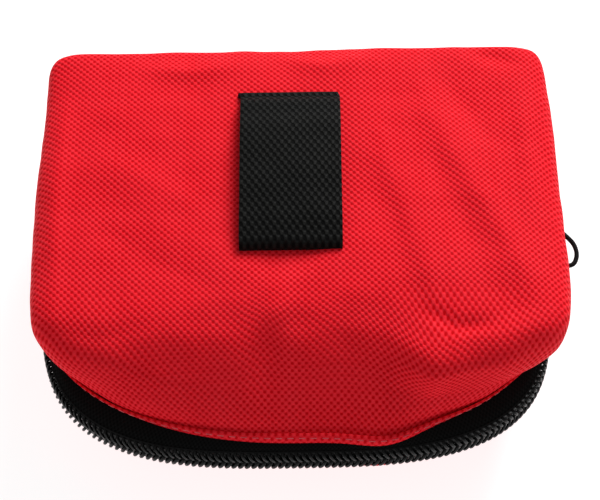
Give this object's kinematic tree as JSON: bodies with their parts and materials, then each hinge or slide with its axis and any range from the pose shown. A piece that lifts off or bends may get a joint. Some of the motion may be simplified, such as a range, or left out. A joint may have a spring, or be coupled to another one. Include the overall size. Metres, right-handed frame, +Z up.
{
  "type": "first aid kit",
  "caption": "Small soft zip pouch with a D outline and a belt loop on its back, opening flat on its spine, packed with dressings and small tools for first aid.",
  "frame": {"origin": "on the outside of the flat front panel, which the pouch lies on, midway across its width, 50 mm in front of the outer face of the spine", "axes": "+X across the pouch along its spine, +Y from the rounded zip edge towards the spine, +Z up through the back panel with the belt loop"},
  "size_m": [0.1358, 0.1062, 0.0505],
  "materials": {
    "red_fabric": "red plain-weave polyester cloth with a slight sheen",
    "black_binding": "black woven binding tape",
    "black_webbing": "black ribbed nylon webbing",
    "black_cord": "thin black braided cord",
    "zip_tape": "smooth black woven zip tape",
    "zip_coil": "black nylon zip coil",
    "black_metal": "black lacquered zinc",
    "gauze": "white open-weave bandage",
    "white_plastic": "white moulded plastic",
    "tape_cloth": "white cloth adhesive tape",
    "clear_wrap": "white folded cloth in thin clear film",
    "glove_packet": "pale blue film gloves folded in a clear packet",
    "plaster_wrapper": "crimped paper wrapper",
    "foil_sachet": "satin foil-lined paper sachet",
    "gauze_wrapper": "white sterile paper wrapper",
    "black_net": "black hexagonal net",
    "leaflet_paper": "folded uncoated paper",
    "steel": "satin stainless steel",
    "red_plastic": "red moulded handle plastic"
  },
  "bodies": {
    "base": {"front_panel": "red_fabric", "front_spine": "red_fabric", "front_seam_binding": "black_binding", "front_zip_tape": "zip_tape", "front_zip_coil": "zip_coil", "front_zip_end_right": "zip_tape", "front_zip_end_left": "zip_tape", "bandage_roll_1": "gauze", "bandage_roll_2": "gauze", "tape_spool": "white_plastic", "adhesive_tape": "tape_cloth", "triangular_bandage": "clear_wrap", "gloves_packet": "glove_packet", "plaster_1": "plaster_wrapper", "plaster_2": "plaster_wrapper", "plaster_3": "plaster_wrapper", "plaster_4": "plaster_wrapper", "plaster_5": "plaster_wrapper", "wipe_sachet_1": "foil_sachet", "wipe_sachet_2": "foil_sachet", "wipe_sachet_3": "foil_sachet", "wipe_sachet_4": "foil_sachet", "gauze_pad_1": "gauze_wrapper", "gauze_pad_2": "gauze_wrapper", "scissor_blade_1": "steel", "scissor_handle_1": "red_plastic", "scissor_rivet": "steel", "tweezer_arm_1": "steel", "safety_pin_1": "steel", "safety_pin_2": "steel"},
    "lid": {"back_panel": "red_fabric", "back_spine": "red_fabric", "back_seam_binding": "black_binding", "back_zip_tape": "zip_tape", "back_zip_coil": "zip_coil", "back_zip_end_right": "zip_tape", "back_zip_end_left": "zip_tape", "belt_loop": "black_webbing", "pocket_net": "black_net", "pocket_binding": "black_binding", "guide_leaflet": "leaflet_paper"},
    "slider": {"zip_slider": "black_metal"},
    "pull": {"pull_tab": "black_metal", "pull_cord_lead": "black_cord", "pull_cord_knot": "black_cord", "pull_cord_loop": "black_cord"},
    "scissor_half": {"scissor_blade_2": "steel", "scissor_handle_2": "red_plastic"},
    "tweezer_half": {"tweezer_arm_2": "steel"}
  },
  "joints": [
    {"name": "lid_hinge", "type": "hinge", "parent": "base", "child": "lid", "pos_m": [0, 0.0504, 0.022], "axis": [-1, 0, 0], "range_deg": [0, 165]},
    {"name": "slider_slide", "type": "slide", "parent": "base", "child": "slider", "axis": [0.0307, -0.9995, 0], "range_m": [0, 0.038]},
    {"name": "pull_hinge", "type": "hinge", "parent": "slider", "child": "pull", "pos_m": [0.06318, 0.0331, 0.022], "axis": [0, 0, 1], "range_deg": [0, 120]},
    {"name": "scissor_pivot", "type": "hinge", "parent": "base", "child": "scissor_half", "pos_m": [-0.001, 0.004, 0.035], "axis": [0, 0, -1], "range_deg": [0, 45]},
    {"name": "tweezer_squeeze", "type": "hinge", "parent": "base", "child": "tweezer_half", "pos_m": [-0.0155, -0.017, 0.0135], "axis": [0, 0, -1], "range_deg": [0, 4]}
  ]
}
